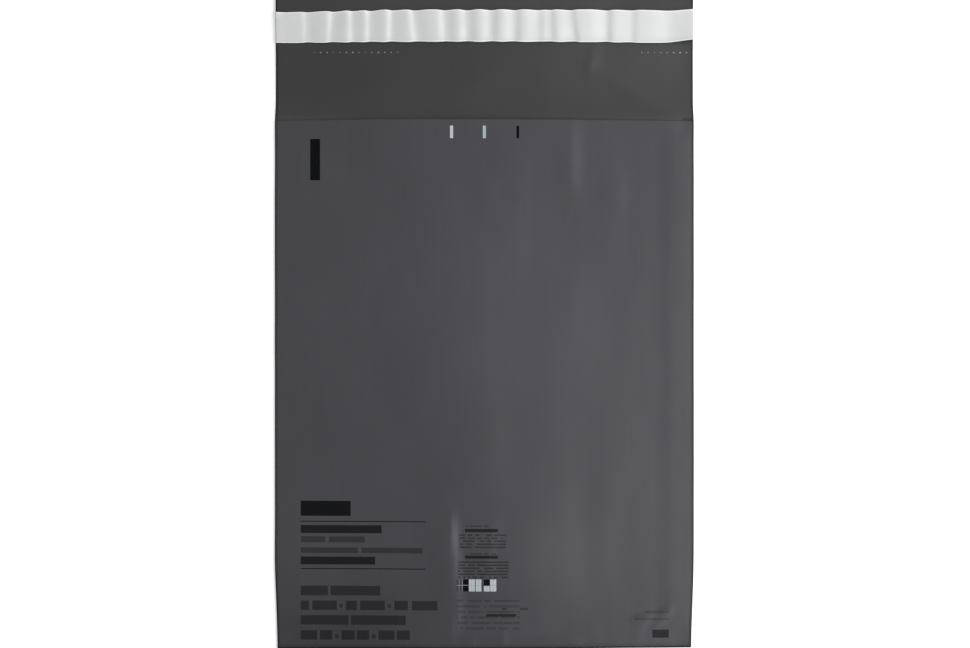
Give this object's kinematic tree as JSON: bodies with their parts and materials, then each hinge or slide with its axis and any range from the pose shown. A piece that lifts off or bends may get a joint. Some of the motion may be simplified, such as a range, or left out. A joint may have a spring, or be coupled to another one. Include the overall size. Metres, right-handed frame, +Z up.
{
  "type": "poly mailer bag",
  "caption": "Soft padded poly mailer, empty and lying flat with its flap open, a liner-covered adhesive band across the flap.",
  "frame": {"origin": "middle of the bag's whole length and width, on the surface that its back panel lies on", "axes": "+X across the bag to the right of its front, +Y from the bottom fold towards the flap's end, +Z up out of the front panel"},
  "size_m": [0.2666, 0.42, 0.0114],
  "materials": {
    "satin_film": "satin polyethylene film",
    "hot_melt": "tacky hot-melt adhesive",
    "silicone_liner": "silicone-coated, soft sheen"
  },
  "bodies": {
    "root": {"mailer_web": "satin_film", "adhesive_band": "hot_melt", "release_liner": "silicone_liner"}
  },
  "joints": []
}
